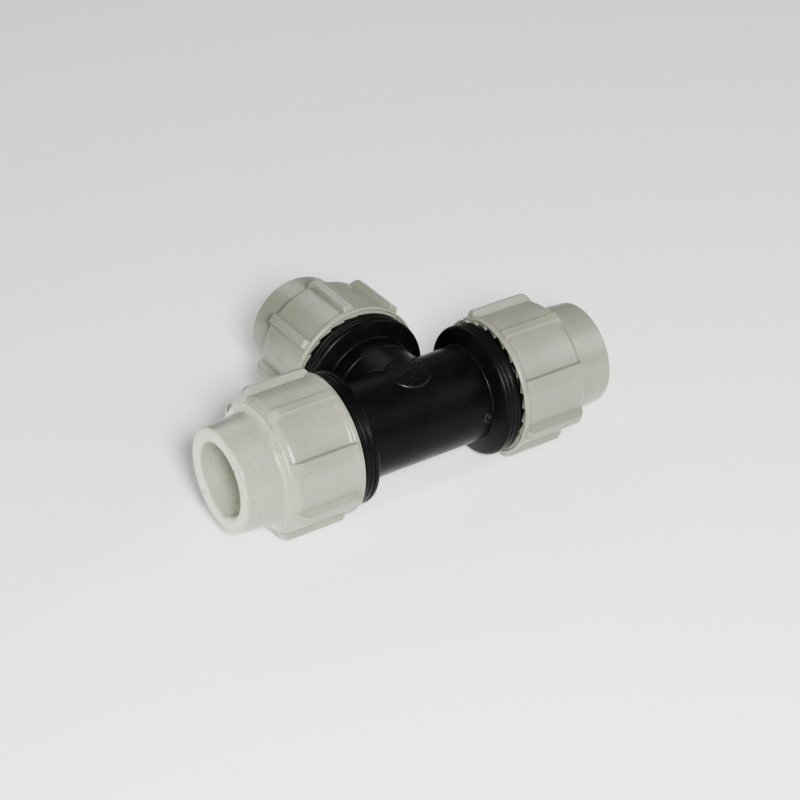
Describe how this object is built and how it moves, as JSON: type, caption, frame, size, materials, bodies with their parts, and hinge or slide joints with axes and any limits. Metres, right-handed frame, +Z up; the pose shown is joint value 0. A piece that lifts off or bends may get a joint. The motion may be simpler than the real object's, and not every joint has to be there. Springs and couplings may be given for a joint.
{
  "type": "compression tee fitting",
  "caption": "Equal push-in compression tee for plastic water pipe: black moulded tee body with a ribbed grey clamping nut on the run and branch ports.",
  "frame": {"origin": "under the middle of the fitting's bounding box, on the surface that it rests on; the three pipe axes cross at x 0, y -29.6 mm, z 33.0 mm", "axes": "+X along the run towards the right port, +Y along the branch towards its port, +Z up"},
  "size_m": [0.182, 0.1228, 0.066],
  "materials": {
    "body_black": "satin",
    "nut_grey": "satin",
    "grip_white": "satin",
    "bush_black": "matte",
    "seal_rubber": "matte"
  },
  "bodies": {
    "tee": {"tee_body": "body_black", "left_pressure_bush": "bush_black", "left_o_ring": "seal_rubber", "right_pressure_bush": "bush_black", "right_o_ring": "seal_rubber", "branch_pressure_bush": "bush_black", "branch_o_ring": "seal_rubber"},
    "left_grip": {"left_grip_ring": "grip_white"},
    "left_nut": {"left_nut": "nut_grey"},
    "right_grip": {"right_grip_ring": "grip_white"},
    "right_nut": {"right_nut": "nut_grey"},
    "branch_grip": {"branch_grip_ring": "grip_white"},
    "branch_nut": {"branch_nut": "nut_grey"}
  },
  "joints": [
    {"name": "left_grip_slide", "type": "slide", "parent": "tee", "child": "left_grip", "axis": [-1, 0, 0], "range_m": [0, 0.015]},
    {"name": "left_nut_turn", "type": "hinge", "parent": "left_grip", "child": "left_nut", "pos_m": [0, -0.02965, 0.03302], "axis": [-1, 0, 0], "range_deg": [0, 900]},
    {"name": "right_grip_slide", "type": "slide", "parent": "tee", "child": "right_grip", "axis": [1, 0, 0], "range_m": [0, 0.015]},
    {"name": "right_nut_turn", "type": "hinge", "parent": "right_grip", "child": "right_nut", "pos_m": [0, -0.02965, 0.03302], "axis": [1, 0, 0], "range_deg": [0, 900]},
    {"name": "branch_grip_slide", "type": "slide", "parent": "tee", "child": "branch_grip", "axis": [0, 1, 0], "range_m": [0, 0.015]},
    {"name": "branch_nut_turn", "type": "hinge", "parent": "branch_grip", "child": "branch_nut", "pos_m": [0, -0.02965, 0.03302], "axis": [0, 1, 0], "range_deg": [0, 900]}
  ],
  "couplings": [
    {"joint": "left_grip_slide", "follows": "left_nut_turn", "m_per_rad": 0.00095493},
    {"joint": "right_grip_slide", "follows": "right_nut_turn", "m_per_rad": 0.00095493},
    {"joint": "branch_grip_slide", "follows": "branch_nut_turn", "m_per_rad": 0.00095493}
  ]
}
